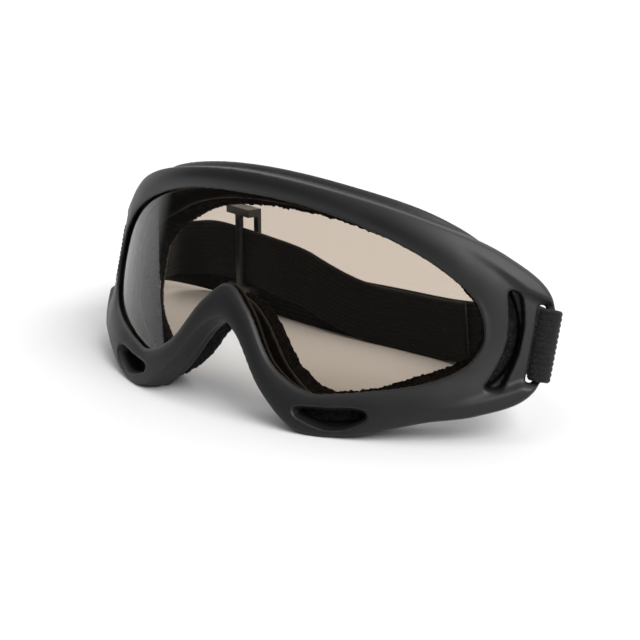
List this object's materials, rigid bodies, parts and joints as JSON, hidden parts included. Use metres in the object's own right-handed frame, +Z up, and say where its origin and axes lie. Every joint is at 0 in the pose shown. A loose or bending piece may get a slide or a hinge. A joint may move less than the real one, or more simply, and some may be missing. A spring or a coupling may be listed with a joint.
{
  "type": "motorcycle goggles",
  "caption": "Motorcycle goggles: wrap-round tinted lens in a flexible vented frame, padded face foam, and an elastic ribbed strap looped through the ears with a slider.",
  "frame": {"origin": "centre of the whole object's footprint, on the table it stands on", "axes": "+X to the wearer's left, +Y rearwards to the wearer's head, +Z up"},
  "size_m": [0.1934, 0.0972, 0.0693],
  "materials": {
    "frame_rubber": "satin moulded black",
    "tinted_lens": "polished smoke-brown tint",
    "foam": "open-cell foam",
    "fleece": "short napped fleece",
    "webbing": "ribbed elastic webbing",
    "slider_plastic": "semi-gloss moulded black",
    "thread": "close zigzag stitching"
  },
  "bodies": {
    "mask": {"frame": "frame_rubber", "lens": "tinted_lens", "face_foam": "foam", "face_foam_lining": "fleece", "vent_foam_top_left": "foam", "vent_foam_top_right": "foam", "vent_foam_ear_left": "foam", "vent_foam_ear_right": "foam", "vent_foam_lower_left": "foam", "vent_foam_lower_right": "foam", "ear_loop_left": "webbing", "ear_loop_right": "webbing", "bar_tack_left": "thread", "bar_tack_right": "thread"},
    "strap": {"strap_left": "webbing", "strap_rear": "webbing", "strap_right": "webbing", "strap_return_rear": "webbing", "strap_return_side": "webbing"},
    "slider": {"strap_slider": "slider_plastic"}
  },
  "joints": [
    {"name": "strap_lift", "type": "hinge", "parent": "mask", "child": "strap", "pos_m": [0.0098, 0.01223, 0.0211], "axis": [1, 0, 0], "range_deg": [0, 30]},
    {"name": "slider_slide", "type": "slide", "parent": "strap", "child": "slider", "axis": [-0.9735, 0.2286, -0.0047], "range_m": [-0.005, 0.005]}
  ]
}
